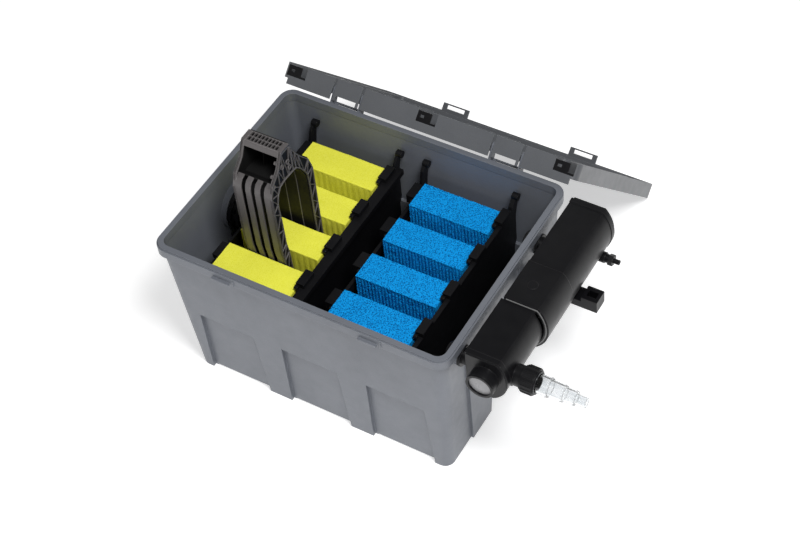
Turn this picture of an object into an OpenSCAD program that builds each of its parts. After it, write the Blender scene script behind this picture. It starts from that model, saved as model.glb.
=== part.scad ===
// Pond box filter with two sponge cassettes, a cleaning tool, a hinged lid and a UV clarifier.
// Frame: origin at the centre of the tub's base, +X along the long front, +Y to the back, +Z up.
// Lengths are in millimetres.

/* [Tub] */
// Length of the tub over its rim
tub_l = 585; // [560:1:610]
// Depth of the tub over its rim
tub_d = 442; // [430:1:450]
// Height of the tub
tub_h = 340; // [335:1:345]
// Length of the tub at its base
base_l = 534; // [526:1:540]
// Depth of the tub at its base
base_d = 391; // [386:1:396]
// Wall thickness of the tub
tub_wall = 4; // [3:0.5:4.5]
// Height of the rim band
rim_h = 20; // [16:1:24]
// How far the rim band stands out from the wall
rim_out = 8; // [6:1:10]
// Radius of the rim's corners
rim_r = 27; // [24:1:36]

/* [Lid] */
// Half length of the lid
lid_half_l = 303.5; // [302:0.5:304]
// Angle of the lid in its rest pose, counted from closed
lid_angle = 228; // [215:0.5:228]
// Thickness of the lid's plate and skirt
lid_t = 3; // [2.5:0.5:4]
// Distance of each hinge from the middle of the lid
hinge_x = 165; // [150:1:175]
// Radius of each hinge pin
pin_r = 2.5; // [2:0.5:3]

/* [Sponges] */
// Height of a sponge
foam_h = 238; // [220:1:238]
// Thickness of a sponge
foam_t = 60; // [54:1:66]
// Distance between neighbouring sponge centres
foam_pitch = 93; // [92:0.5:94]
// Number of sponges in a cassette
foam_n = 4; // [4:1:4]

/* [Cleaning tool] */
// Height of the tool's grip above the tub's base
tool_top = 512; // [500:1:520]
// Width of the tool
tool_w = 80; // [70:1:84]

/* [UV clarifier] */
// Height of the axis of the two pipe connectors
conn_z = 300; // [298:1:301]
// Radius of the connector pipes
conn_r = 14; // [12:0.5:14]
// Radius of the hose tail's smallest step
hose_r = 9.5; // [9:0.5:10]
// Radius of the outlet pipe
outlet_r = 37.5; // [35:0.5:37.5]

/* [Hidden] */
$fn = 64;

rim_z = tub_h - rim_h;
top_l = tub_l - 2 * rim_out;
top_d = tub_d - 2 * rim_out;
lean_x = atan((top_l - base_l) / 2 / rim_z);
lean_y = atan((top_d - base_d) / 2 / rim_z);
floor_z = 3;
floor_t = 4;
panel_pitch = 174;
panel_h = 165;
panel_deep = 7;
pillar_out = 5;

axis_y = 240.5;
axis_z = 354;
lid_top = axis_z + 10;
lid_low = axis_z - 19.5;
lid_front = -225;
lid_back = axis_y + 11;
cheek_x = 29.5;
cheek_t = 5;
clip_x = 276;
lip_h = 11;

tray_z = 22;
tray_t = 10;
foam_z = tray_z + tray_t;
foam_top = foam_z + foam_h;
foam_y = [for (i = [0:foam_n - 1]) (1.5 - i) * foam_pitch];
foam_back = 34;
knob_z = 296;
lift_gap = 0.3;
yellow_x = [-215, -51];
blue_x = [25, 187];

tool_x = -177;
leg_low = foam_z + lift_gap;

port_y = [-160, 112];
front_x = [314, 325];
rear_x = [324, 329];
lamp_low = 266;
lamp_high = 360;
lamp_mid = 318;
lamp_r = 65.5;
cap_y = -192;
shell_y = -182;
collar_y = -66;
sleeve_y = 22;
rear_y = 170;
shell_t = 3;
tube_axis = [352, 315];
sight_r = 25;
inlet = [-160, 308];
boss_r = 21;
outlet_z = 240;
gland = [156, 272];

// ---------------------------------------------------------------- helpers

// Rectangle with round corners, centred
module round_rect(l, w, r) {
    square([l, w - 2 * r], center = true);
    square([l - 2 * r, w], center = true);
    for (sx = [-1, 1], sy = [-1, 1]) translate([sx * (l / 2 - r), sy * (w / 2 - r)]) circle(r);
}

// Body that widens evenly from a small base to a larger top
module tapered(l0, d0, z0, l1, d1, z1, r)
    translate([0, 0, z0]) linear_extrude(z1 - z0, scale = [l1 / l0, d1 / d0], slices = 1)
        round_rect(l0, d0, r, $fn = 40);

// Cylinder along +X that starts at x
module rod_x(x, y, z, r, len) translate([x, y, z]) rotate([0, 90, 0]) cylinder(r = r, h = len);

// Cylinder along +Y that starts at y
module rod_y(x, y, z, r, len) translate([x, y, z]) rotate([-90, 0, 0]) cylinder(r = r, h = len);

// Tube along +X
module tube_x(x, y, z, r, bore, len)
    difference() {
        rod_x(x, y, z, r, len);
        rod_x(x - 1, y, z, bore, len + 2);
    }

// Tube along +Y
module tube_y(x, y, z, r, bore, len)
    difference() {
        rod_y(x, y, z, r, len);
        rod_y(x, y - 1, z, bore, len + 2);
    }

// Plate in the YZ plane from an outline of [y, z] points, from x to x + t
module slab_x(x, t) translate([x, 0, 0]) rotate([90, 0, 90]) linear_extrude(t) children();

// Block between two corners
module box(a, b) translate(a) cube(b - a);

// ---------------------------------------------------------------- tub

// Trapezium of one wall panel, grown by g
module panel_shape(w_top, w_base, h, g)
    polygon([[-w_base / 2 - g, -30], [w_base / 2 + g, -30], [w_base / 2 + g, 0],
        [w_top / 2 + g, h + g], [-w_top / 2 - g, h + g], [-w_base / 2 - g, 0]]);

// Front and back wall panels; deep is how far the panel goes in
module long_wall_panels(g, deep)
    for (side = [0, 180], i = [-1:1])
        rotate([0, 0, side]) translate([i * panel_pitch, -base_d / 2, 0]) rotate([lean_y, 0, 0])
            translate([0, deep, 0]) rotate([90, 0, 0]) linear_extrude(40)
                panel_shape(116, 127, panel_h, g);

// End wall panels, between the two pillars
module end_wall_panels(g, deep)
    for (side = [90, -90])
        rotate([0, 0, side]) translate([0, -base_l / 2, 0]) rotate([lean_x, 0, 0])
            translate([0, deep, 0]) rotate([90, 0, 0]) linear_extrude(40)
                panel_shape(76, 92, panel_h + 60, g);

// Full-height pillars on both end walls, wider towards the rim
module end_pillars()
    for (side = [90, -90], m = [0, 1])
        rotate([0, 0, side]) mirror([m, 0, 0]) translate([0, -base_l / 2, 0]) rotate([lean_x, 0, 0])
            translate([0, 2, 0]) rotate([90, 0, 0]) linear_extrude(pillar_out + 2)
                polygon([[50, 0], [117, 0], [146, rim_z + 1], [42, rim_z + 1]]);

// One hinge bracket: two cheeks and the slotted web between them
module hinge_bracket() {
    for (s = [-1, 1]) translate([s * cheek_x - cheek_t / 2, 0, 0]) {
        slab_x(0, cheek_t) polygon([[tub_d / 2 - 2, 322], [tub_d / 2 - 2, 339.5],
            [axis_y - 4.6, axis_z + 4.6], [axis_y + 4.6, axis_z - 4.6], [228, 322]]);
        rod_x(0, axis_y, axis_z, 6.5, cheek_t);
    }
    difference() {
        box([-cheek_x, tub_d / 2 - 2, 326], [cheek_x, 233, 330]);
        box([-22, 223.5, 320], [22, 230.5, 335]);
    }
}

// Lug under the front rim that the lid's slotted tab snaps over
module front_lug() {
    box([-18, -tub_d / 2 - 6, 322], [18, -tub_d / 2 + 2, 326]);
    box([24, -tub_d / 2 - 2, 321], [26, -tub_d / 2 + 2, 333]);
}

module tub() color([0.49, 0.5, 0.52])
    difference() {
        union() {
            difference() {
                tapered(base_l, base_d, 0, top_l, top_d, rim_z + 1, 19);
                long_wall_panels(0, panel_deep);
                end_wall_panels(0, panel_deep);
                for (mx = [0, 1], my = [0, 1]) mirror([mx, 0, 0]) mirror([0, my, 0])
                    box([30, 30, -1], [225, 170, floor_z]);
                for (i = [-1:1], s = [0, 1]) mirror([0, s, 0])
                    box([i * panel_pitch - 58, 30, -1], [i * panel_pitch + 58, 196, floor_z]);
            }
            difference() {
                end_pillars();
                for (y = port_y) rod_x(288, y, conn_z, 19.5, 12);
            }
            translate([0, 0, rim_z]) linear_extrude(rim_h - 3) round_rect(tub_l, tub_d, rim_r);
            translate([0, 0, rim_z]) linear_extrude(rim_h) round_rect(tub_l - 5, tub_d - 5, rim_r - 2.5);
            for (s = [-1, 1]) translate([s * hinge_x, 0, 0]) hinge_bracket();
            for (s = [-1, 1]) translate([s * 146, 0, 0]) front_lug();
            for (y = port_y) rod_x(274, y, conn_z, 19, 14);
            rod_x(-288, 0, outlet_z, 48, 22);
            rod_x(-280, 120, 44, 24, 20);
            box([279, 60, 222], [290, 96, 262]);
        }
        difference() {
            tapered(base_l - 2 * tub_wall, base_d - 2 * tub_wall, floor_z + floor_t,
                top_l - 2 * tub_wall, top_d - 2 * tub_wall, rim_z + 2, 15);
            long_wall_panels(tub_wall, panel_deep + tub_wall);
            end_wall_panels(tub_wall, panel_deep + tub_wall);
            for (y = port_y) rod_x(275, y, conn_z, 19, 14);
            rod_x(-300, 0, outlet_z, 48, 34);
            rod_x(-300, 120, 44, 24, 36);
        }
        translate([0, 0, rim_z + 1]) linear_extrude(rim_h)
            round_rect(top_l - 2 * tub_wall - 1, top_d - 2 * tub_wall - 1, 16);
        for (y = port_y) rod_x(260, y, conn_z, conn_r, 40);
        rod_x(-300, 0, outlet_z, outlet_r, 40);
        rod_x(-300, 120, 44, 16, 60);
        for (s = [-1, 1]) rod_x(s * hinge_x - 34, axis_y, axis_z, pin_r, 68);
        for (s = [-1, 1]) rod_x(278, 78 + s * 11, 230, 2, 30);
    }

module hinge_pins() color([0.1, 0.1, 0.1])
    for (s = [-1, 1]) {
        rod_x(s * hinge_x - 33, axis_y, axis_z, pin_r, 66);
        rod_x(s * hinge_x + 32, axis_y, axis_z, 4, 3);
    }

// ---------------------------------------------------------------- lid, drawn closed and then swung open

module lid_pose()
    translate([0, axis_y, axis_z]) rotate([-lid_angle, 0, 0]) translate([0, -axis_y, -axis_z]) children();

lid_mid = (lid_front + lid_back) / 2;
lid_d = lid_back - lid_front;

// Cut-out in the back skirt for a clip, c is its middle
module clip_notch(c) box([c - 20, lid_back - 7, lid_low - 1], [c + 20, lid_back + 1, lid_top - 5]);

module lid() color([0.42, 0.43, 0.45]) lid_pose() difference() {
    union() {
        difference() {
            translate([0, lid_mid, lid_low]) linear_extrude(lid_top - lid_low)
                round_rect(2 * lid_half_l, lid_d, 12);
            translate([0, lid_mid, lid_low - 1]) linear_extrude(lid_top - lid_low + 1 - lid_t)
                round_rect(2 * (lid_half_l - lid_t), lid_d - 2 * lid_t, 9);
        }
        // lip along the back edge, open at the hinges
        difference() {
            box([12 - lid_half_l, lid_back - lid_t, lid_top - 1],
                [lid_half_l - 12, lid_back, lid_top + lip_h]);
            for (s = [-1, 1])
                box([s * hinge_x - 22, lid_back - 5, lid_top + 2], [s * hinge_x + 22, lid_back + 1, 400]);
        }
        // raised field on the outside
        translate([0, -10, lid_top - 1]) linear_extrude(6) round_rect(470, 300, 16);
        // locating rib that goes inside the rim
        difference() {
            translate([0, 2, lid_low + 2]) linear_extrude(26) round_rect(524, 384, 16);
            translate([0, 2, lid_low]) linear_extrude(30) round_rect(518, 378, 13);
        }
        // stiffening ribs across the inside
        for (y = [-90, 30], s = [-1, 0, 1])
            box([s * 195 - 60, y - 1.5, lid_low + 6], [s * 195 + 60, y + 1.5, lid_top - 1]);
        for (x = [-160, -32, 32, 160]) box([x - 1.5, -180, lid_low + 12], [x + 1.5, 185, lid_top - 1]);
        // slotted snap tabs at the front
        for (s = [-1, 1]) difference() {
            box([s * 146 - 30, lid_front, 318], [s * 146 + 30, lid_front + lid_t, lid_low + 1]);
            box([s * 146 - 20, lid_front - 1, 321], [s * 146 + 20, lid_front + lid_t + 1, 329]);
        }
        // hinge barrels and their webs
        for (s = [-1, 1]) translate([s * hinge_x, 0, 0]) {
            rod_x(-26.5, axis_y, axis_z, 6.5, 53);
            box([-26.5, axis_y - 4, axis_z], [26.5, lid_back - 1, lid_top - 1]);
        }
    }
    translate([0, -10, lid_top - 1 - lid_t]) linear_extrude(6) round_rect(464, 294, 13);
    for (s = [-1, 1]) rod_x(s * hinge_x - 40, axis_y, axis_z, pin_r + 0.05, 80);
    for (s = [-1, 1], c = [-1, 1]) translate([s * hinge_x + c * cheek_x, 0, 0])
        box([-3.1, tub_d / 2 + 1, lid_low - 1], [3.1, lid_back + 1, lid_top + lip_h + 1]);
    for (c = [-clip_x, 0, clip_x]) clip_notch(c);
}

// Black clip set in a notch of the back skirt, with its hook towards the rim
module lid_clip(c) color([0.05, 0.05, 0.05]) lid_pose() difference() {
    union() {
        box([c - 20, lid_back - lid_t, lid_low + 4], [c + 8, lid_back, lid_top - 5]);
        box([c - 20, lid_back - 7, lid_low + 4], [c - 2, lid_back - lid_t, lid_low + 8]);
        box([c + 8, lid_back - lid_t, lid_top - 9], [c + 20, lid_back, lid_top - 5]);
    }
    box([c - 14, lid_back - 9, lid_low + 11], [c - 6, lid_back + 1, lid_low + 16]);
}
module lid_clip_left() lid_clip(-clip_x);
module lid_clip_centre() lid_clip(0);
module lid_clip_right() lid_clip(clip_x);

// ---------------------------------------------------------------- cassettes

// Tray that carries four sponges and two side plates
module tray(x0, x1) color([0.06, 0.06, 0.065]) difference() {
    union() {
        box([x0, -183, tray_z], [x1, 183, foam_z]);
        for (x = [x0 + 14, x1 - 14], y = [-160, 160])
            translate([x, y, floor_z + floor_t + lift_gap])
                cylinder(r = 9, h = tray_z - floor_z - floor_t);
    }
    for (y = foam_y, i = [0:2])
        box([x0 + 14 + i * (x1 - x0 - 24) / 3, y - 22, tray_z - 1],
            [x0 + 10 + (i + 1) * (x1 - x0 - 24) / 3, y + 30, foam_z + 1]);
}

// Outline of a side plate in [y, z]: narrow below the tub's panels, with an arm and knob at each end
module plate_outline(top, arm) {
    polygon([[-182, foam_z], [182, foam_z], [182, 176], [190, 190], [190, top],
        [-190, top], [-190, 190], [-182, 176]]);
    for (m = [0, 1]) mirror([m, 0]) {
        polygon([[173, top - 1], [190, top - 20], [201, arm - 3], [193, arm + 2], [182, arm - 10]]);
        translate([196, arm]) circle(7);
    }
}

// Side plate from x to x + t with a thick knob at the end of each arm
module side_plate(x, t, top) color([0.05, 0.05, 0.055]) {
    slab_x(x, t) plate_outline(top, knob_z);
    for (s = [-1, 1]) rod_x(x, s * 196, knob_z, 7, 12);
}

// Side plate with two slots behind each sponge
module slotted_plate(x, t, top, slot_w, slot_high) difference() {
    side_plate(x, t, top);
    for (y = foam_y, s = [-1, 1])
        box([x - 1, y + s * 15 - slot_w / 2, 60], [x + t + 1, y + s * 15 + slot_w / 2, slot_high]);
}

module yellow_tray() tray(-228, -18);
module blue_tray() tray(2, 210);
module yellow_plate_left() slotted_plate(yellow_x[0] - 11, 5, 258, 18, 230);
module yellow_plate_right() {
    side_plate(yellow_x[1] + 7, 5, 274);
    color([0.05, 0.05, 0.055]) box([yellow_x[1] + 12, -182, 262], [yellow_x[1] + 27, 182, 274]);
}
module blue_plate_left() slotted_plate(blue_x[0] - 13, 6, 244, 20, 226);
module blue_plate_right() side_plate(blue_x[1] + 7, 8, 274);

// Clip block beside each sponge from x0 to x1, with a round pin at its front edge;
// the block's head lies over the plate's top edge, from head[0] to head[1]
module clips(x0, x1, low, high, head, top) color([0.07, 0.07, 0.07])
    for (y = foam_y) {
        box([x0, y - 2, low], [x1, y + 32, high]);
        box([head[0], y - 2, top], [head[1], y + 32, high]);
        rod_x(x0, y - 6, high - 8, 4.5, x1 - x0);
    }
module yellow_clips() {
    clips(yellow_x[0] - 6, yellow_x[0], 214, 268, [yellow_x[0] - 14, yellow_x[0]], 258);
    clips(yellow_x[1], yellow_x[1] + 7, 214, 284, [yellow_x[1], yellow_x[1] + 16], 274);
}
module blue_clips() {
    clips(blue_x[0] - 7, blue_x[0], 200, 264, [blue_x[0] - 19, blue_x[0]], 244);
    clips(blue_x[1], blue_x[1] + 7, 214, 284, [blue_x[1], blue_x[1] + 16], 274);
}

module sponge(x, y) box([x[0], y + foam_back - foam_t, foam_z], [x[1], y + foam_back, foam_top]);
module yellow_sponge(i) color([0.88, 0.87, 0.22]) sponge(yellow_x, foam_y[i]);
module blue_sponge(i) color([0.08, 0.55, 0.9]) sponge(blue_x, foam_y[i]);

// ---------------------------------------------------------------- cleaning tool

// Outer edge of the tool in [y, z]
tool_outer = [[-103, leg_low], [-104, 272], [-108.5, 300], [-109.5, 440], [-101.5, 462],
    [-79, 482], [-64, tool_top], [-40, tool_top], [-37, 497], [-20, 466], [6, 432], [15, 404],
    [15, 272], [13, leg_low]];
// Inner edge of the arch between the legs
tool_inner = [[-84, leg_low - 1], [-85, 272], [-90.5, 300], [-92, 392], [-94, 418], [-84, 440],
    [-76, 446], [-30, 444], [-12, 422], [-4, 404], [-1.5, 386], [-1.5, 272], [-1.5, leg_low - 1]];
// Inner face of the front slab and grip
tool_lining = [[-98, leg_low - 2], [-99, 272], [-103.5, 300], [-104.5, 438], [-97.5, 458], [-75, 478],
    [-60, 508], [-44, 508], [-41, 494], [-24, 463], [2, 428], [10, 403], [10, 272], [8, leg_low - 2]];

module tool_side(x) slab_x(x, 3) difference() {
    polygon(tool_outer);
    polygon(tool_inner);
}

module cleaning_tool() color([0.3, 0.29, 0.29]) difference() {
    union() {
        tool_side(tool_x);
        tool_side(tool_x + tool_w - 3);
        // front slab and grip, between the sides
        slab_x(tool_x + 2, tool_w - 4) difference() {
            polygon(tool_outer);
            polygon(tool_inner);
            polygon(tool_lining);
        }
        slab_x(tool_x + 2, tool_w - 4) polygon([[-99, 424], [-93, 419], [-83, 441], [-76, 446],
            [-30, 444], [-12, 422], [-5, 428], [-28, 450], [-78, 451], [-88, 446]]);
    }
    // three long slots in the front slab
    for (i = [-1:1]) translate([tool_x + tool_w / 2 + i * 19 - 4, -122, 60]) cube([8, 18, 372]);
    // window above them, in the sloping front
    box([tool_x + 10, -116, 462], [tool_x + tool_w - 10, -71, 480]);
    box([tool_x + 10, -90, 478], [tool_x + tool_w - 10, -62, 499]);
    // two rows of holes in the grip
    for (i = [0:7], j = [0, 1])
        box([tool_x + 9 + i * 8, -63 + j * 11, tool_top - 8],
            [tool_x + 14 + i * 8, -55 + j * 11, tool_top + 1]);
}

// ---------------------------------------------------------------- outlet and drain on the left wall

module outlet_pipe() color([0.08, 0.08, 0.085]) difference() {
    union() {
        rod_x(-322, 0, outlet_z, outlet_r, 66);
        rod_x(-294, 0, outlet_z, 46, 4);
    }
    rod_x(-330, 0, outlet_z, outlet_r - 3, 80);
}
module outlet_gasket() color([0.03, 0.03, 0.03]) tube_x(-290, 0, outlet_z, 46, outlet_r, 2);
module outlet_nut() color([0.08, 0.08, 0.085]) difference() {
    rod_x(-266, 0, outlet_z, 46, 8);
    rod_x(-267, 0, outlet_z, outlet_r, 10);
    for (a = [0:45:315]) translate([-262, 0, outlet_z]) rotate([a, 0, 0]) translate([0, 46, 0])
        cube([12, 5, 8], center = true);
}
module outlet_strainer() color([0.08, 0.08, 0.085]) difference() {
    rod_x(-258, 0, outlet_z, 41, 13);
    rod_x(-259, 0, outlet_z, outlet_r, 4);
    rod_x(-256, 0, outlet_z, 34, 7);
    for (i = [-2:2]) box([-250, i * 12 - 3, outlet_z - 24], [-244, i * 12 + 3, outlet_z + 24]);
    for (a = [0:30:330]) translate([-252.5, 0, outlet_z]) rotate([a, 0, 0])
        box([-2, 30, -5], [2, 45, 5]);
}

module drain_stub() color([0.08, 0.08, 0.085]) difference() {
    union() {
        rod_x(-298, 120, 44, 16, 38);
        rod_x(-284, 120, 44, 22, 4);
        rod_x(-264, 120, 44, 21, 4);
    }
    rod_x(-300, 120, 44, 12, 50);
}
module drain_cap() color([0.08, 0.08, 0.085]) difference() {
    rod_x(-303, 120, 44, 21, 18);
    rod_x(-299, 120, 44, 16.05, 20);
    for (a = [0:30:330]) translate([-294, 120, 44]) rotate([a, 0, 0]) translate([0, 21.6, 0])
        rotate([0, 90, 0]) cylinder(r = 1.8, h = 30, center = true);
}

// ---------------------------------------------------------------- connectors through the right wall

module connector(y, wall) color([0.07, 0.07, 0.075]) difference() {
    union() {
        rod_x(264, y, conn_z, conn_r, wall - 258);
        rod_x(290, y, conn_z, 19, 4);
        rod_x(wall - 8, y, conn_z, 17, 8);
    }
    rod_x(260, y, conn_z, conn_r - 2.5, 60);
}
module connector_front() connector(port_y[0], front_x[0]);
module connector_rear() connector(port_y[1], rear_x[0] - 4.5);
module connector_gaskets() color([0.03, 0.03, 0.03])
    for (y = port_y) tube_x(288, y, conn_z, 19, conn_r, 2);
module connector_nuts() color([0.07, 0.07, 0.075])
    for (y = port_y) difference() {
        translate([267, y, conn_z]) rotate([0, 90, 0]) cylinder(r = 20, h = 8, $fn = 6);
        rod_x(260, y, conn_z, conn_r, 20);
    }

// ---------------------------------------------------------------- UV clarifier

// Cross-section of the lamp housing in [x, z]: flat top, inner side and bottom, round outer side.
// at[0] is its inner side and at[1] the middle of its round side
module lamp_section(at, g) intersection() {
    translate([at[0] - g, lamp_low - g]) square([90, lamp_high - lamp_low + 2 * g]);
    translate([at[1], lamp_mid]) circle(lamp_r + g, $fn = 128);
}
// The section swept along Y from y0 to y1
module lamp_body(at, y0, y1, g)
    translate([0, y1, 0]) rotate([90, 0, 0]) linear_extrude(y1 - y0) lamp_section(at, g);

module uv_front_cap() color([0.16, 0.16, 0.165]) difference() {
    union() {
        lamp_body(front_x, cap_y, shell_y, 0);
        lamp_body(front_x, cap_y - 2, cap_y, -2);
        lamp_body(front_x, shell_y, shell_y + 6, -shell_t);
        rod_y(tube_axis[0], cap_y - 21, lamp_mid, sight_r, 22);
    }
    rod_y(tube_axis[0], cap_y - 30, lamp_mid, sight_r - 5, 50);
    rod_y(tube_axis[0], cap_y - 22, lamp_mid, sight_r - 2.5, 4);
}
module sight_glass() color([0.75, 0.8, 0.85])
    rod_y(tube_axis[0], cap_y - 21, lamp_mid, sight_r - 2.5, 3);
module sight_glass_bezel() color([0.05, 0.05, 0.05])
    tube_y(tube_axis[0], cap_y - 25, lamp_mid, sight_r, sight_r - 4.5, 4);

module uv_front_housing() color([0.09, 0.09, 0.095]) difference() {
    union() {
        lamp_body(front_x, shell_y, collar_y - 1, 0);
        lamp_body(rear_x, collar_y - 2, collar_y + 22, 0);
        rod_x(360, inlet[0], inlet[1], boss_r, 29);
        rod_x(388, inlet[0], inlet[1], 19, 22);
        rod_x(403, inlet[0], inlet[1], boss_r + 0.5, 2);
    }
    lamp_body(front_x, shell_y - 1, collar_y - 4, -shell_t);
    lamp_body(rear_x, collar_y - 5, collar_y + 30, -shell_t);
    rod_x(350, inlet[0], inlet[1], 14, 70);
    rod_x(300, port_y[0], conn_z, conn_r, 24);
}
module uv_collar_seal() color([0.45, 0.45, 0.46]) difference() {
    lamp_body(rear_x, collar_y - 1, collar_y, 1.8);
    lamp_body(rear_x, collar_y - 4, collar_y + 1, 0);
}
module uv_rear_housing() color([0.08, 0.08, 0.085]) difference() {
    union() {
        lamp_body(rear_x, collar_y, sleeve_y, 3);
        lamp_body(rear_x, sleeve_y, rear_y, 4.5);
        rod_x(368, gland[0], gland[1], 10, 28);
    }
    lamp_body(rear_x, collar_y - 1, rear_y + 1, 0);
    rod_x(360, gland[0], gland[1], 4.5, 50);
    rod_x(300, port_y[1], conn_z, conn_r, 28);
}
module uv_locking_sleeve() color([0.1, 0.1, 0.105]) difference() {
    union() {
        lamp_body(rear_x, collar_y, sleeve_y, 5.5);
        translate([350, -24, lamp_high + 5]) cylinder(r = 9, h = 1.6);
    }
    lamp_body(rear_x, collar_y - 1, sleeve_y + 1, 3);
    translate([395, -30, 300]) rotate([0, -20, 0]) cube([12, 3, 26], center = true);
}
module uv_rear_cap() color([0.08, 0.08, 0.085]) {
    difference() {
        lamp_body(rear_x, rear_y, rear_y + 10, 5.5);
        lamp_body(rear_x, rear_y - 1, rear_y + 4, 0);
    }
    lamp_body(rear_x, rear_y + 10, rear_y + 15, 2.5);
}

module quartz_sleeve() color([0.85, 0.9, 0.95]) {
    tube_y(tube_axis[0], -160, tube_axis[1], 15, 13, 308);
    rod_y(tube_axis[0], -163, tube_axis[1], 15, 3);
}
module sleeve_seal() color([0.03, 0.03, 0.03]) difference() {
    lamp_body(rear_x, 138, 144, 0);
    rod_y(tube_axis[0], 130, tube_axis[1], 15, 20);
}
module uv_tube() color([0.92, 0.92, 0.96]) {
    for (s = [-1, 1]) rod_y(tube_axis[0] + s * 5.5, -145, tube_axis[1], 4, 277);
    box([tube_axis[0] - 6, -145, tube_axis[1] - 2], [tube_axis[0] + 6, -140, tube_axis[1] + 2]);
}
module lamp_socket() color([0.9, 0.9, 0.88]) difference() {
    rod_y(tube_axis[0], 122, tube_axis[1], 13, 30);
    for (s = [-1, 1]) rod_y(tube_axis[0] + s * 5.5, 112, tube_axis[1], 4, 20);
}
module ballast() color([0.2, 0.2, 0.2]) box([330, 153, 286], [368, 172, 340]);

module cable_gland() color([0.05, 0.05, 0.05]) difference() {
    union() {
        rod_x(388, gland[0], gland[1], 4.5, 34);
        rod_x(396, gland[0], gland[1], 8, 6);
    }
    rod_x(380, gland[0], gland[1], 2.6, 60);
}
module gland_nut() color([0.05, 0.05, 0.05]) difference() {
    translate([402, gland[0], gland[1]]) rotate([0, 90, 0]) cylinder(r = 10.5, h = 9, $fn = 6);
    rod_x(400, gland[0], gland[1], 4.5, 20);
}

module union_nut() color([0.06, 0.06, 0.065]) difference() {
    union() {
        rod_x(405.3, inlet[0], inlet[1], 23, 22);
        rod_x(427, inlet[0], inlet[1], 20.5, 3);
        for (a = [0:20:340]) translate([407, inlet[0], inlet[1]]) rotate([a, 0, 0])
            box([0, 22, -1.4], [19, 24.2, 1.4]);
    }
    rod_x(390, inlet[0], inlet[1], 19.05, 25.5);
    rod_x(390, inlet[0], inlet[1], 17.3, 60);
}
tail_steps = [[411.5, 414.5, 18.8], [413, 452, 17], [451, 478, 14.5], [477, 498, 12.5],
    [497, 516, hose_r]];
tail_bore = [[400, 450, 13], [440, 477, 11.5], [470, 497, 9.5], [490, 520, 7]];
module hose_tail() color([0.9, 0.92, 0.95, 0.4]) difference() {
    union() {
        for (s = tail_steps) rod_x(s[0], inlet[0], inlet[1], s[2], s[1] - s[0]);
        for (s = [[448, 17], [474, 14.5], [494, 12.5]]) rod_x(s[0], inlet[0], inlet[1], s[1] + 0.9, 2.5);
    }
    for (s = tail_bore) rod_x(s[0], inlet[0], inlet[1], s[2], s[1] - s[0]);
}
module hose_tail_seal() color([0.03, 0.03, 0.03]) tube_x(410, inlet[0], inlet[1], 18.5, 14, 1.5);

// Arm on the right wall that carries the lamp, with a closed box beyond it that has a pocket on top
module lamp_bracket() color([0.06, 0.06, 0.065]) difference() {
    union() {
        box([290, 60, 222], [294, 96, 262]);
        box([290, 63, 238], [424, 93, 254]);
        box([320, 63, 254], [356, 93, lamp_low - 4.5]);
        box([394, 63, 254], [424, 93, 264]);
    }
    box([300, 67, 241], [350, 89, 256]);
    box([400, 71, 246], [418, 85, 270]);
    for (s = [-1, 1]) rod_x(280, 78 + s * 11, 230, 2, 20);
}
module bracket_screws() color([0.7, 0.7, 0.72])
    for (s = [-1, 1]) {
        rod_x(278, 78 + s * 11, 230, 2, 17);
        rod_x(294, 78 + s * 11, 230, 4, 2.5);
    }

tub();
hinge_pins();
lid();
lid_clip_left();
lid_clip_centre();
lid_clip_right();
yellow_tray();
yellow_plate_left();
yellow_plate_right();
yellow_clips();
yellow_sponge(0);  // yellow_sponge_1
yellow_sponge(1);  // yellow_sponge_2
yellow_sponge(2);  // yellow_sponge_3
yellow_sponge(3);  // yellow_sponge_4
blue_tray();
blue_plate_left();
blue_plate_right();
blue_clips();
blue_sponge(0);  // blue_sponge_1
blue_sponge(1);  // blue_sponge_2
blue_sponge(2);  // blue_sponge_3
blue_sponge(3);  // blue_sponge_4
cleaning_tool();
outlet_pipe();
outlet_gasket();
outlet_nut();
outlet_strainer();
drain_stub();
drain_cap();
connector_front();
connector_rear();
connector_gaskets();
connector_nuts();
uv_front_cap();
uv_front_housing();
uv_collar_seal();
uv_locking_sleeve();
uv_rear_housing();
uv_rear_cap();
sight_glass();
sight_glass_bezel();
quartz_sleeve();
sleeve_seal();
uv_tube();
lamp_socket();
ballast();
cable_gland();
gland_nut();
union_nut();
hose_tail();
hose_tail_seal();
lamp_bracket();
bracket_screws();
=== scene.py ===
import math
import bpy
import bmesh
from mathutils import Matrix, Vector, noise


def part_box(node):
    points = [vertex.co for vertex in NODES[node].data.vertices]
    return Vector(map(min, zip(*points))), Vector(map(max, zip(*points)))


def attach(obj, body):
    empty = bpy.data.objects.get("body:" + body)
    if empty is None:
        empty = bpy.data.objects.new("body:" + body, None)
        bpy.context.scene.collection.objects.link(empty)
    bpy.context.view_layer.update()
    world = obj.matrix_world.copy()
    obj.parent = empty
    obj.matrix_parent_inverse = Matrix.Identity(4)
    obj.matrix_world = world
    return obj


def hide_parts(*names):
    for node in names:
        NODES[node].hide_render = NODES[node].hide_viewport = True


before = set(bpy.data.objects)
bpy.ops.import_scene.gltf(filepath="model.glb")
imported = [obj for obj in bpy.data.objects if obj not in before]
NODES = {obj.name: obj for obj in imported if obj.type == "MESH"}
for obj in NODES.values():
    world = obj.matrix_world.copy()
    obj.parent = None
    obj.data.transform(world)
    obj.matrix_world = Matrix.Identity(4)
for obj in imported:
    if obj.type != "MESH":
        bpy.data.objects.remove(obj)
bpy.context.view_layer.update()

MM = 0.001


# ------------------------------------------------------------ camera, light and floor

CAMERA_RIGHT = Vector((0.86149, 0.50229, -0.07437))
CAMERA_UP = Vector((-0.33978, 0.67910, 0.65067))
CAMERA_PLACE = Vector((1.2664, -1.6944, 2.6349))
CAMERA_LENS = 81.0

STUDIO_LIGHT = 0.2
BACKDROP = 0.72

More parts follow.
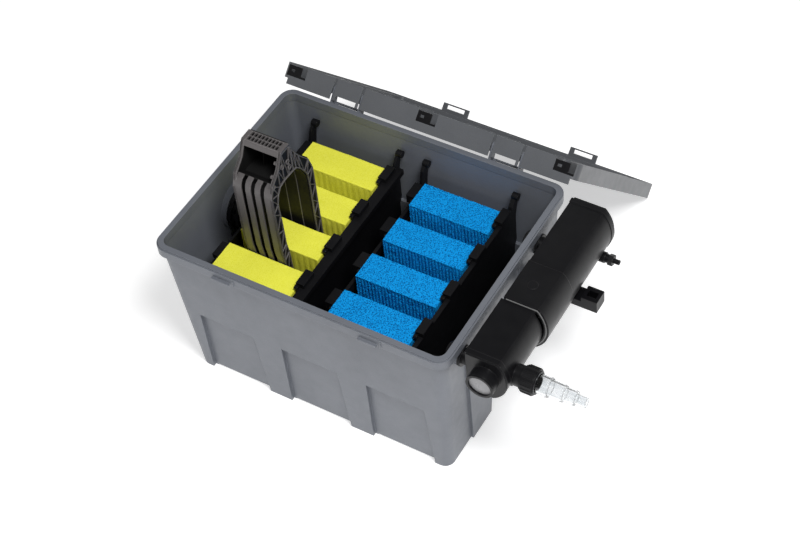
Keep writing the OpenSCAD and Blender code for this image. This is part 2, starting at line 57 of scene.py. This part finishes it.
# place, target, size in metres, and power in watts
LIGHTS = {
    "key": ((1.2, -0.7, 2.8), (0.1, 0, 0.2), (0.8, 0.8), 64),
    "front": ((0.9, -3.0, 1.1), (0, 0, 0.15), (2.6, 1.2), 16),
    "left": ((-2.4, -1.2, 1.2), (0, 0, 0.2), (1.4, 1.4), 6),
    "back": ((0.3, 2.6, 1.6), (0, 0, 0.3), (2.2, 1.0), 10),
}

FLOOR_SIZE = 12
FLOOR_DROP = 0.0005
FLOOR_GLOW = 0.5


def make_camera():
    """Camera where the photograph was taken from."""
    data = bpy.data.cameras.new("camera")
    data.lens = CAMERA_LENS
    data.sensor_width = 36.0
    data.clip_end = 50
    camera = bpy.data.objects.new("camera", data)
    back = CAMERA_RIGHT.cross(CAMERA_UP).normalized()
    up = back.cross(CAMERA_RIGHT).normalized()
    place = Matrix((CAMERA_RIGHT.normalized(), up, back)).transposed().to_4x4()
    place.translation = CAMERA_PLACE
    camera.matrix_world = place
    bpy.context.scene.collection.objects.link(camera)
    bpy.context.scene.camera = camera


def area_light(name, place, target, size, power):
    data = bpy.data.lights.new(name, "AREA")
    data.shape = "RECTANGLE"
    data.size, data.size_y = size
    data.energy = power
    light = bpy.data.objects.new(name, data)
    light.location = place
    aim = Vector(target) - Vector(place)
    light.rotation_euler = aim.to_track_quat("-Z", "Y").to_euler()
    bpy.context.scene.collection.objects.link(light)


def make_world():
    """White studio: faint light from all sides, and a bright backdrop where the view passes the floor."""
    world = bpy.data.worlds.new("studio")
    bpy.context.scene.world = world
    world.use_nodes = True
    tree = world.node_tree
    background = tree.nodes["Background"]
    background.inputs["Color"].default_value = (1, 1, 1, 1)
    seen = tree.nodes.new("ShaderNodeLightPath")
    strength = tree.nodes.new("ShaderNodeMapRange")
    strength.inputs["To Min"].default_value = STUDIO_LIGHT
    strength.inputs["To Max"].default_value = BACKDROP
    tree.links.new(seen.outputs["Is Camera Ray"], strength.inputs["Value"])
    tree.links.new(strength.outputs["Result"], background.inputs["Strength"])
    bpy.context.scene.view_settings.view_transform = "Standard"


def make_floor(material):
    bm = bmesh.new()
    bmesh.ops.create_grid(bm, x_segments=2, y_segments=2, size=FLOOR_SIZE)
    mesh = bpy.data.meshes.new("floor")
    bm.to_mesh(mesh)
    bm.free()
    mesh.materials.append(material)
    floor = bpy.data.objects.new("floor", mesh)
    floor.location = (0, 0, -FLOOR_DROP)
    bpy.context.scene.collection.objects.link(floor)


# ------------------------------------------------------------ materials

def grey(value):
    return (value, value, value)


class Nodes:
    """Short names for building a material's node tree."""

    def __init__(self, name):
        self.material = bpy.data.materials.new(name)
        self.material.use_nodes = True
        self.tree = self.material.node_tree
        self.shader = self.tree.nodes["Principled BSDF"]
        self.coords = self.add("ShaderNodeTexCoord").outputs["Object"]

    def add(self, kind, **values):
        node = self.tree.nodes.new(kind)
        for key, value in values.items():
            setattr(node, key, value)
        return node

    def put(self, socket, value):
        """Link the socket to another node's output, or give it a plain value."""
        if hasattr(value, "links"):
            self.tree.links.new(value, socket)
        else:
            socket.default_value = value

    def stretched(self, stretch):
        if stretch is None:
            return self.coords
        node = self.add("ShaderNodeMapping")
        self.put(node.inputs["Scale"], stretch)
        self.put(node.inputs["Vector"], self.coords)
        return node.outputs["Vector"]

    def noise(self, scale, detail=3, rough=0.55, stretch=None):
        node = self.add("ShaderNodeTexNoise")
        self.put(node.inputs["Scale"], scale)
        self.put(node.inputs["Detail"], detail)
        self.put(node.inputs["Roughness"], rough)
        self.put(node.inputs["Vector"], self.stretched(stretch))
        return node.outputs["Fac"]

    def cells(self, scale):
        node = self.add("ShaderNodeTexVoronoi")
        self.put(node.inputs["Scale"], scale)
        self.put(node.inputs["Vector"], self.coords)
        return node.outputs["Distance"]

    def ramp(self, source, stops):
        """Colours at places from 0 to 1 along the source's value."""
        node = self.add("ShaderNodeValToRGB")
        ramp = node.color_ramp
        while len(ramp.elements) < len(stops):
            ramp.elements.new(0.5)
        for element, (place, colour) in zip(ramp.elements, stops):
            element.position = place
            element.color = (*colour, 1)
        self.put(node.inputs["Fac"], source)
        return node.outputs["Color"]

    def mix(self, factor, a, b, blend="MIX"):
        node = self.add("ShaderNodeMix", data_type="RGBA", blend_type=blend)
        first, second = [socket for socket in node.inputs if socket.type == "RGBA"]
        self.put(node.inputs["Factor"], factor)
        self.put(first, a)
        self.put(second, b)
        return [socket for socket in node.outputs if socket.type == "RGBA"][0]

    def math(self, operation, a, b):
        node = self.add("ShaderNodeMath", operation=operation)
        self.put(node.inputs[0], a)
        self.put(node.inputs[1], b)
        return node.outputs[0]

    def bump(self, height, strength, distance, normal=None):
        node = self.add("ShaderNodeBump")
        self.put(node.inputs["Strength"], strength)
        self.put(node.inputs["Distance"], distance)
        self.put(node.inputs["Height"], height)
        if normal is not None:
            self.put(node.inputs["Normal"], normal)
        return node.outputs["Normal"]

    def out(self, **sockets):
        for name, value in sockets.items():
            self.put(self.shader.inputs[name.replace("_", " ")], value)
        return self.material


def plastic(name, dark, light, rough, bump, highlight_wear_edge=None, soft=0.0009, shine=0.5):
    """Moulded plastic: slow colour drift, fine grain, soft edges that catch the light, and painted
    highlight and wear on the edges.
    """
    n = Nodes(name)
    speckle = n.noise(900, detail=2, rough=0.5)
    drift = n.ramp(n.noise(7, detail=4, rough=0.6), [(0.3, dark), (0.7, light)])
    grain = n.ramp(speckle, [(0.35, grey(0.93)), (0.65, grey(1.05))])
    colour = n.mix(1.0, drift, grain, "MULTIPLY")
    bevel = n.add("ShaderNodeBevel", samples=6)
    n.put(bevel.inputs["Radius"], soft)
    # painted highlight and wear: the edges that the bevel rounds take a lighter colour, broken up by noise
    if highlight_wear_edge is not None:
        geometry = n.add("ShaderNodeNewGeometry")
        facing = n.add("ShaderNodeVectorMath", operation="DOT_PRODUCT")
        n.put(facing.inputs[0], bevel.outputs["Normal"])
        n.put(facing.inputs[1], geometry.outputs["Normal"])
        turned = n.math("SUBTRACT", 1.0, facing.outputs["Value"])
        highlight_wear_mask = n.ramp(turned, [(0.02, grey(0)), (0.2, grey(1))])
        colour = n.mix(n.math("MULTIPLY", highlight_wear_mask, n.noise(60)), colour, (*highlight_wear_edge, 1))
    patches = n.noise(45, detail=4, rough=0.6)
    return n.out(Base_Color=colour, IOR=1.46, Specular_IOR_Level=shine,
                 Roughness=n.ramp(patches, [(0.3, grey(rough - 0.05)), (0.7, grey(rough + 0.05))]),
                 Normal=n.bump(speckle, bump, 0.0004, bevel.outputs["Normal"]))


def foam_material(name, deep, body, bright, stops, scale, strength):
    """Open-cell foam: pores between strands, at the size of the real cells, with painted shade in the
    pores and painted highlight on the strands.
    """
    n = Nodes(name)
    fine = n.noise(scale * 1.7, rough=0.7)
    height = n.math("ADD", n.cells(scale), n.math("MULTIPLY", fine, 0.5))
    # painted shade and highlight: low places in the pores take the deep colour, high places on the strands
    # the bright one
    strands = n.ramp(height, list(zip(stops, (deep, body, bright))))
    drift = n.ramp(n.noise(14), [(0.3, grey(0.94)), (0.7, grey(1.04))])
    return n.out(Base_Color=n.mix(1.0, strands, drift, "MULTIPLY"), Specular_IOR_Level=0.1,
                 Roughness=n.ramp(fine, [(0.3, grey(0.8)), (0.7, grey(0.9))]),
                 Normal=n.bump(height, strength, 0.002))


def clear_material(name, tint, rough, ior, streak):
    """Clear moulded plastic or glass with faint flow marks."""
    n = Nodes(name)
    flow = n.noise(30, detail=4, rough=0.6, stretch=(1, 6, 6))
    return n.out(Base_Color=n.ramp(flow, [(0.3, tint), (0.75, grey(1))]), Transmission_Weight=1.0, IOR=ior,
                 Roughness=n.ramp(n.noise(80), [(0.35, grey(rough)), (0.75, grey(rough + 0.05))]),
                 Normal=n.bump(flow, streak, 0.001))


def metal_material(name, dark, light, rough):
    """Brushed metal."""
    n = Nodes(name)
    brush = n.noise(300, rough=0.6, stretch=(0.05, 1, 1))
    return n.out(Base_Color=n.ramp(brush, [(0.3, dark), (0.7, light)]), Metallic=1.0,
                 Roughness=n.ramp(brush, [(0.3, grey(rough)), (0.7, grey(rough + 0.12))]),
                 Normal=n.bump(brush, 0.1, 0.0003))


def floor_material():
    """Pale floor that glows a little, as an overexposed studio floor does."""
    material = plastic("floor", grey(0.86), grey(0.9), 0.85, bump=0.02)
    shader = material.node_tree.nodes["Principled BSDF"]
    shader.inputs["Emission Color"].default_value = (1, 1, 1, 1)
    shader.inputs["Emission Strength"].default_value = FLOOR_GLOW
    return material


# the colours given for the edges below are lighter than the bodies: painted highlight and wear
GREY = plastic("tub_grey", (0.138, 0.148, 0.17), (0.16, 0.171, 0.196), 0.42, bump=0.1,
               highlight_wear_edge=(0.34, 0.36, 0.39))
LID = plastic("lid_grey", (0.1, 0.105, 0.114), (0.118, 0.123, 0.133), 0.36, bump=0.1,
              highlight_wear_edge=(0.3, 0.32, 0.34))
BLACK = plastic("black_satin", (0.004, 0.004, 0.005), (0.008, 0.008, 0.009), 0.38, bump=0.18,
                highlight_wear_edge=(0.03, 0.03, 0.032), shine=0.25)
LAMP = plastic("lamp_black", (0.004, 0.004, 0.005), (0.008, 0.008, 0.009), 0.34, bump=0.12,
               highlight_wear_edge=(0.035, 0.035, 0.037), soft=0.0014, shine=0.25)
TOOL = plastic("tool_grey", (0.085, 0.078, 0.078), (0.12, 0.112, 0.112), 0.36, bump=0.2,
               highlight_wear_edge=(0.42, 0.4, 0.4))
# near black copy of the tool's plastic: painted shade on its webs, linings, inner walls, window ledge and
# grip floor
TOOL_SHADE = plastic("tool_painted_shade", grey(0.006), grey(0.01), 0.5, bump=0.2, shine=0.2)
SEAL = plastic("seal_rubber", grey(0.012), grey(0.02), 0.65, bump=0.3)
GREY_SEAL = plastic("collar_rubber", grey(0.2), grey(0.26), 0.5, bump=0.2)
WHITE = plastic("socket_white", (0.7, 0.7, 0.67), (0.8, 0.8, 0.77), 0.3, bump=0.1)
FROST = plastic("frosted_sight_glass", (0.26, 0.26, 0.27), (0.33, 0.33, 0.34), 0.3, bump=0.05)
# deep is painted shade in the pores, bright is painted highlight on the strands
YELLOW = foam_material("yellow_foam", deep=(0.72, 0.7, 0.035), body=(0.88, 0.87, 0.06),
                       bright=(0.94, 0.93, 0.1), stops=(0.3, 0.55, 0.85), scale=520, strength=0.14)
BLUE = foam_material("blue_foam", deep=(0.0, 0.012, 0.08), body=(0.001, 0.24, 0.68),
                     bright=(0.005, 0.36, 0.88), stops=(0.4, 0.6, 0.85), scale=380, strength=0.8)
CLEAR = clear_material("clear_plastic", (0.72, 0.75, 0.77), 0.03, 1.49, 0.08)
QUARTZ = clear_material("quartz", (0.95, 0.97, 0.98), 0.01, 1.46, 0.02)
STEEL = metal_material("steel", (0.5, 0.5, 0.51), (0.68, 0.68, 0.7), 0.25)

CAD_MATERIAL = {
    "tub": GREY,
    "lid": LID,
    "hinge_pins": BLACK,
    "cleaning_tool": TOOL,
    "sight_glass": FROST,
    "hose_tail": CLEAR,
    "quartz_sleeve": QUARTZ,
    "uv_tube": QUARTZ,
    "lamp_socket": WHITE,
    "bracket_screws": STEEL,
    "uv_collar_seal": GREY_SEAL,
}


def cad_material(node):
    if node in CAD_MATERIAL:
        return CAD_MATERIAL[node]
    if "gasket" in node or "seal" in node:
        return SEAL
    return LAMP if node.startswith("uv_") else BLACK


def dress_cad():
    for node, obj in NODES.items():
        obj.data.materials.clear()
        obj.data.materials.append(cad_material(node))


# ------------------------------------------------------------ mesh helpers, in millimetres

SHARP = math.radians(35)


def from_bmesh(name, bm, material, body, bevel=0.0):
    """Piece on its body, with soft edges where bevel, in metres, is given."""
    mesh = bpy.data.meshes.new(name)
    bmesh.ops.recalc_face_normals(bm, faces=bm.faces)
    bm.to_mesh(mesh)
    bm.free()
    mesh.materials.append(material)
    obj = bpy.data.objects.new(name, mesh)
    bpy.context.scene.collection.objects.link(obj)
    if bevel:
        softened = obj.modifiers.new("bevel", "BEVEL")
        softened.width = bevel
        softened.segments = 2
        softened.limit_method = "ANGLE"
        softened.angle_limit = SHARP
    mesh.shade_smooth()
    mesh.set_sharp_from_angle(angle=SHARP)
    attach(obj, body)
    return obj


def path_vertices(bm, path, x):
    return [bm.verts.new((x * MM, y * MM, z * MM)) for y, z in path]


def prism_x(bm, outline, x0, x1):
    """Solid between x0 and x1 from an outline in y and z."""
    low = path_vertices(bm, outline, x0)
    high = path_vertices(bm, outline, x1)
    bm.faces.new(low[::-1])
    bm.faces.new(high)
    for i in range(len(outline)):
        j = (i + 1) % len(outline)
        bm.faces.new((low[i], low[j], high[j], high[i]))


def block(bm, a, b):
    """Box between two opposite corners."""
    prism_x(bm, [(a[1], a[2]), (b[1], a[2]), (b[1], b[2]), (a[1], b[2])], a[0], b[0])


def bar_x(bm, p, q, width, x0, x1):
    """Straight bar from p to q, each a point in y and z."""
    p, q = Vector(p), Vector(q)
    along = (q - p).normalized()
    side = Vector((-along.y, along.x)) * (width / 2)
    prism_x(bm, [p + side, p - side, q - side, q + side], x0, x1)


def strip(bm, path, width, x0, x1):
    """Band along an open path in y and z, on its left, or on its right where width is negative."""
    outer = [Vector(p) for p in path]
    inner = []
    for i, p in enumerate(outer):
        before = (p - outer[i - 1]).normalized() if i else (outer[1] - p).normalized()
        after = (outer[i + 1] - p).normalized() if i < len(outer) - 1 else before
        n1, n2 = Vector((-before.y, before.x)), Vector((-after.y, after.x))
        way = (n1 + n2).normalized()
        inner.append(p + way * width / max(0.35, way.dot(n1)))
    prism_x(bm, outer + inner[::-1], x0, x1)


def band_x(bm, outs, ins, x0, x1):
    """Plate between two matching paths in y and z."""
    near_out, near_in = path_vertices(bm, outs, x0), path_vertices(bm, ins, x0)
    far_out, far_in = path_vertices(bm, outs, x1), path_vertices(bm, ins, x1)
    for i in range(len(outs) - 1):
        j = i + 1
        bm.faces.new((near_out[i], near_in[i], near_in[j], near_out[j]))
        bm.faces.new((far_out[i], far_out[j], far_in[j], far_in[i]))
        bm.faces.new((near_out[i], near_out[j], far_out[j], far_out[i]))
        bm.faces.new((near_in[i], far_in[i], far_in[j], near_in[j]))
    for end in (0, -1):
        bm.faces.new((near_out[end], far_out[end], far_in[end], near_in[end]))


def tube_x(bm, centre, radius, wall, sides, x0, x1):
    """Open tube along x around a centre in y and z, with its wall inside the radius."""
    turns = [math.tau * i / sides for i in range(sides + 1)]
    ring = [(centre[0] + radius * math.cos(t), centre[1] + radius * math.sin(t)) for t in turns]
    strip(bm, ring, wall, x0, x1)


# ------------------------------------------------------------ sponges, in metres

# mesh steps along the sponge, through it, and down its face: fine where it shows, coarse below
STEP_LONG = 0.0012
STEP_THICK = 0.0018
STEP_TOP = 0.002
STEP_BELOW = 0.014
SHOWING = 0.04

# how steep the pores' walls are, and the roughness between them against the pores' depth and size
PORE_STEEP = 2.2
ROUGH_SHARE = 0.5
ROUGH_SIZE = 1.9
SLOW_WAVE = 0.0006
WAVES_PER_METRE = 28
WORN_EDGE = 0.0008

# the groove's part of each pitch, how square its floor is, how its depth varies and fades towards the
# top, and the mesh steps without grooves at the sponge's ends
GROOVE_FROM = 0.2
GROOVE_TO = 0.8
GROOVE_SQUARE = 0.6
RAGS_PER_METRE = 70
GROOVE_FADE = 0.002
PLAIN_END = 2

SPONGES = {
    "yellow": {"material": YELLOW, "cell": 0.0024, "pore": 0.0002,
               "groove": 0.0008, "pitch": 0.0125, "seed": 0},
    "blue": {"material": BLUE, "cell": 0.0036, "pore": 0.0012,
             "groove": 0.0034, "pitch": 0.0068, "seed": 7},
}


def marks(low, high, step):
    """Even places from low to high, about a step apart."""
    count = max(2, round((high - low) / step))
    return [low + (high - low) * i / count for i in range(count + 1)]


def surface_move(point, cell, pore):
    """How far the face moves outwards here: pores, roughness between them and a slow wave."""
    near = noise.voronoi(point / cell)[0][0]
    dip = -pore * max(0.0, 1 - near * PORE_STEEP)
    rough = pore * ROUGH_SHARE * noise.noise(point / (cell * ROUGH_SIZE))
    wave = SLOW_WAVE * noise.noise(point * WAVES_PER_METRE)
    return dip + rough + wave - pore * 0.5


def groove_depth(along, below, point, groove, pitch):
    """Depth of the sawn grooves at a place along the face and below the top, with ragged edges."""
    phase = (along / pitch) % 1.0
    if not GROOVE_FROM < phase < GROOVE_TO:
        return 0.0
    ragged = 0.75 + 0.5 * noise.noise(point * RAGS_PER_METRE)
    fade = min(1.0, below / GROOVE_FADE) * ragged
    across = (phase - (GROOVE_FROM + GROOVE_TO) / 2) / (GROOVE_TO - GROOVE_FROM)
    return groove * fade * max(0.0, math.cos(across * math.pi)) ** GROOVE_SQUARE


def sponge(colour, number, material, cell, pore, groove, pitch, seed):
    """Sponge with open pores on its faces and sawn vertical grooves on its two long faces."""
    node = "%s_sponge_%d" % (colour, number)
    low, high = (Vector(corner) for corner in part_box(node))
    xs = marks(low.x, high.x, STEP_LONG)
    ys = marks(low.y, high.y, STEP_THICK)
    zs = marks(low.z, high.z - SHOWING, STEP_BELOW)[:-1] + marks(high.z - SHOWING, high.z, STEP_TOP)
    nx, ny, nz = len(xs) - 1, len(ys) - 1, len(zs) - 1
    seed += number
    shift = Vector((seed * 0.37, seed * 0.21, seed * 0.53))
    bm = bmesh.new()
    made = {}

    def vertex(i, j, k):
        if (i, j, k) in made:
            return made[i, j, k]
        point = Vector((xs[i], ys[j], zs[k]))
        outward = Vector(((i == nx) - (i == 0), (j == ny) - (j == 0), (k == nz) - (k == 0)))
        move = surface_move(point + shift, cell, pore)
        if j in (0, ny) and k < nz - 1 and PLAIN_END < i < nx - PLAIN_END:
            move -= groove_depth(point.x - low.x, high.z - point.z, point + shift, groove, pitch)
        if outward.length > 1:
            move -= WORN_EDGE
        made[i, j, k] = bm.verts.new(point + outward.normalized() * min(move, 0.0))
        return made[i, j, k]

    def quad(*corners):
        bm.faces.new([vertex(*corner) for corner in corners])

    for i in range(nx):
        for j in range(ny):
            for k in (0, nz):
                quad((i, j, k), (i + 1, j, k), (i + 1, j + 1, k), (i, j + 1, k))
        for k in range(nz):
            for j in (0, ny):
                quad((i, j, k), (i + 1, j, k), (i + 1, j, k + 1), (i, j, k + 1))
    for j in range(ny):
        for k in range(nz):
            for i in (0, nx):
                quad((i, j, k), (i, j + 1, k), (i, j + 1, k + 1), (i, j, k + 1))
    obj = from_bmesh(node + "_foam", bm, material, colour + "_cassette")
    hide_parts(node)


def sponges():
    for number in range(1, 5):
        for colour, looks in SPONGES.items():
            sponge(colour, number, **looks)


# ------------------------------------------------------------ cleaning tool, in millimetres

# The tool's outer and inner edges in y and z, from the front leg's foot over the grip to the back
# leg's foot. The points match in pairs, and each pair carries a bar of the truss.
FRONT_LEG = [(-103, 33), (-103.2, 80), (-103.5, 150), (-103.7, 220), (-104.5, 274), (-108.3, 300),
             (-109, 350), (-109.3, 400), (-109, 438)]
WINDOW = [(-101.5, 462), (-79, 482), (-65, 511)]
GRIP_SLOPE = [(-41, 511), (-37.5, 498), (-29, 482), (-20, 466), (6, 432)]
BACK_LEG = [(14.5, 404), (14.5, 360), (14.5, 315), (14.5, 272), (14, 200), (13.6, 120), (13, 33)]
TOOL_OUT = FRONT_LEG + WINDOW + GRIP_SLOPE + BACK_LEG

FRONT_INSIDE = [(-84, 33), (-84, 95), (-84.3, 165), (-84.7, 235), (-86.5, 285), (-90.6, 310),
                (-91.2, 345), (-92, 385), (-94, 412), (-88, 432), (-80, 443), (-66, 446)]
SLOPE_INSIDE = [(-52, 445.5), (-38, 444.5), (-30, 443), (-20, 432), (-9, 414)]
BACK_INSIDE = [(-3, 400), (-1.5, 375), (-1.5, 335), (-1.5, 295), (-1.5, 240), (-1.5, 160), (-1.5, 33)]
TOOL_IN = FRONT_INSIDE + SLOPE_INSIDE + BACK_INSIDE

# shorter paths at the window: the front bars' upper ends, its lower ledge and its upper lip
BAR_BEND = [(-106.5, 448), (-101.5, 455), (-92, 458)]
WINDOW_LEDGE = [(-92, 458), (-86, 455), (-78, 450)]
WINDOW_LIP = [(-69.5, 501.5), (-65.5, 510), (-62, 511.6)]

FOOT_Z = 33
FOOT_HEIGHT = 25
FOOT_FRONT = -103.6
FOOT_BACK = -99.5
SIDE_DEPTH = 3
FLANGE = 1.8
SKIN = 2.0
WEB = 1.6
TRUSS_BAR = 1.2
TRUSS_EYES = ((-66, 478), (-50, 476), (-47, 461))
EYE_RADIUS = 5
EYE_WALL = 1.2
WALL_INSET = 27
WALL = 1.6
WALL_EDGE = 1.8
FRONT_BAR = 3.2
SLOTS = ((17, 25), (36, 44), (55, 63))
WINDOW_FRAME = 6.5
SCREW_BOSSES = ((-70, 487), (-85, 468))
BOSS_RADIUS = 3.6
BOSS_WALL = 2.0
GRIP_FRONT = -64
GRIP_BACK = -40.5
GRIP_TOP = 512
GRIP_DEPTH = 7
GRIP_END = 8
GRIP_HOLES = 9
GRIP_BAR = 1.4
GRIP_RAIL = 2.2
GRIP_ROW = 10.6


def inside(x0, x1):
    """Where the parts between the tool's two sides start and end."""
    return x0 + SIDE_DEPTH + 1, x1 - SIDE_DEPTH - 1


def tool_side(ribs, webs, face, inward):
    """One side: flanges along both edges, a truss and three eyes between them, and a web behind, dark with
    painted shade.
    """
    deep = face + SIDE_DEPTH * inward
    a, b = sorted((face, deep))
    strip(ribs, TOOL_OUT, -FLANGE, a, b)
    strip(ribs, TOOL_IN, FLANGE, a, b)
    a, b = sorted((face + 0.5 * inward, deep))
    for i in range(1, len(TOOL_OUT) - 1):
        bar_x(ribs, TOOL_OUT[i], TOOL_IN[i], TRUSS_BAR, a, b)
        if i < len(TOOL_IN) - 2:
            bar_x(ribs, TOOL_OUT[i], TOOL_IN[i + 1], TRUSS_BAR, a, b)
    for eye in TRUSS_EYES:
        tube_x(ribs, eye, EYE_RADIUS, EYE_WALL, 20, a, b)
    band_x(webs, TOOL_OUT, TOOL_IN, *sorted((deep, deep + WEB * inward)))


def tool_walls(ribs, webs, x0, x1):
    """The arch's lining, the skin over the grip's slope and the back leg, and two walls inside them."""
    middle = inside(x0, x1)
    # the lining, skins and walls in webs are dark with painted shade
    strip(webs, TOOL_IN, -FLANGE, *middle)
    strip(webs, GRIP_SLOPE[-1:] + BACK_LEG, SKIN, *middle)
    strip(webs, GRIP_SLOPE, SKIN, *middle)
    for x in (x0 + WALL_INSET, x1 - WALL_INSET):
        band_x(webs, GRIP_SLOPE + BACK_LEG, SLOPE_INSIDE + BACK_INSIDE, x - WALL / 2, x + WALL / 2)
        strip(ribs, BACK_INSIDE, -2.6, x - WALL_EDGE / 2, x + WALL_EDGE / 2)


def tool_front(front, webs, x0, x1):
    """Four bars that bend back under the window, the window's frame and two screw bosses behind it."""
    edges = [x0] + [x0 + x for slot in SLOTS for x in slot] + [x1]
    for a, b in zip(edges[::2], edges[1::2]):
        strip(front, FRONT_LEG + BAR_BEND, -FRONT_BAR, a, b)
    for a, b in ((x0, x0 + WINDOW_FRAME), (x1 - WINDOW_FRAME, x1)):
        strip(front, FRONT_LEG[-1:] + WINDOW, -3.4, a, b)
    block(front, (x0, FOOT_FRONT, FOOT_Z), (x1, FOOT_BACK, FOOT_Z + FOOT_HEIGHT))
    strip(front, WINDOW_LIP, -3, x0 + 5, x1 - 5)
    # the window's ledge is dark with painted shade
    strip(webs, WINDOW_LEDGE, -SKIN, *inside(x0, x1))
    for boss in SCREW_BOSSES:
        tube_x(front, boss, BOSS_RADIUS, BOSS_WALL, 16, x1 - 13, x1 - 8.5)


def tool_grip(front, webs, x0, x1):
    """Grip with two rows of holes: bars both ways between two end pads, over a floor dark with painted
    shade.
    """
    for a, b in ((x0, x0 + GRIP_END), (x1 - GRIP_END, x1)):
        block(front, (a, GRIP_FRONT, GRIP_TOP - GRIP_DEPTH), (b, GRIP_BACK, GRIP_TOP))
    a, b = x0 + GRIP_END - 1, x1 - GRIP_END + 1
    for i in range(3):
        y = GRIP_FRONT + GRIP_ROW * i
        block(front, (a, y, GRIP_TOP - 5.5), (b, y + GRIP_RAIL, GRIP_TOP - 0.2))
    for i in range(GRIP_HOLES + 1):
        x = x0 + GRIP_END + (x1 - x0 - 2 * GRIP_END - 2) / GRIP_HOLES * i
        block(front, (x, GRIP_FRONT + 1, GRIP_TOP - 5.2), (x + GRIP_BAR, GRIP_BACK - 1.5, GRIP_TOP - 0.5))
    floor_top = GRIP_TOP - GRIP_DEPTH
    block(webs, (a, GRIP_FRONT + 1, floor_top - 2), (b, GRIP_BACK - 0.5, floor_top))


def cleaning_tool():
    """Hollow yoke: truss sides, a front of four bars, a pierced grip and inner walls dark with painted
    shade.
    """
    low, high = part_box("cleaning_tool")
    x0, x1 = low[0] / MM, high[0] / MM
    ribs, webs, front = bmesh.new(), bmesh.new(), bmesh.new()
    tool_side(ribs, webs, x0, 1)
    tool_side(ribs, webs, x1, -1)
    tool_walls(ribs, webs, x0, x1)
    tool_front(front, webs, x0, x1)
    tool_grip(front, webs, x0, x1)
    # the webs piece is the tool's own plastic painted near black as shade
    parts = (("tool_ribs", ribs, TOOL, 0.0003), ("tool_webs", webs, TOOL_SHADE, 0.0003),
             ("tool_front", front, TOOL, 0.0007))
    for name, bm, material, bevel in parts:
        piece = from_bmesh(name, bm, material, "tool", bevel)
        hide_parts("cleaning_tool")


# ------------------------------------------------------------ build

make_camera()
make_world()
for light_name, light_values in LIGHTS.items():
    area_light(light_name, *light_values)
make_floor(floor_material())
dress_cad()
sponges()
cleaning_tool()
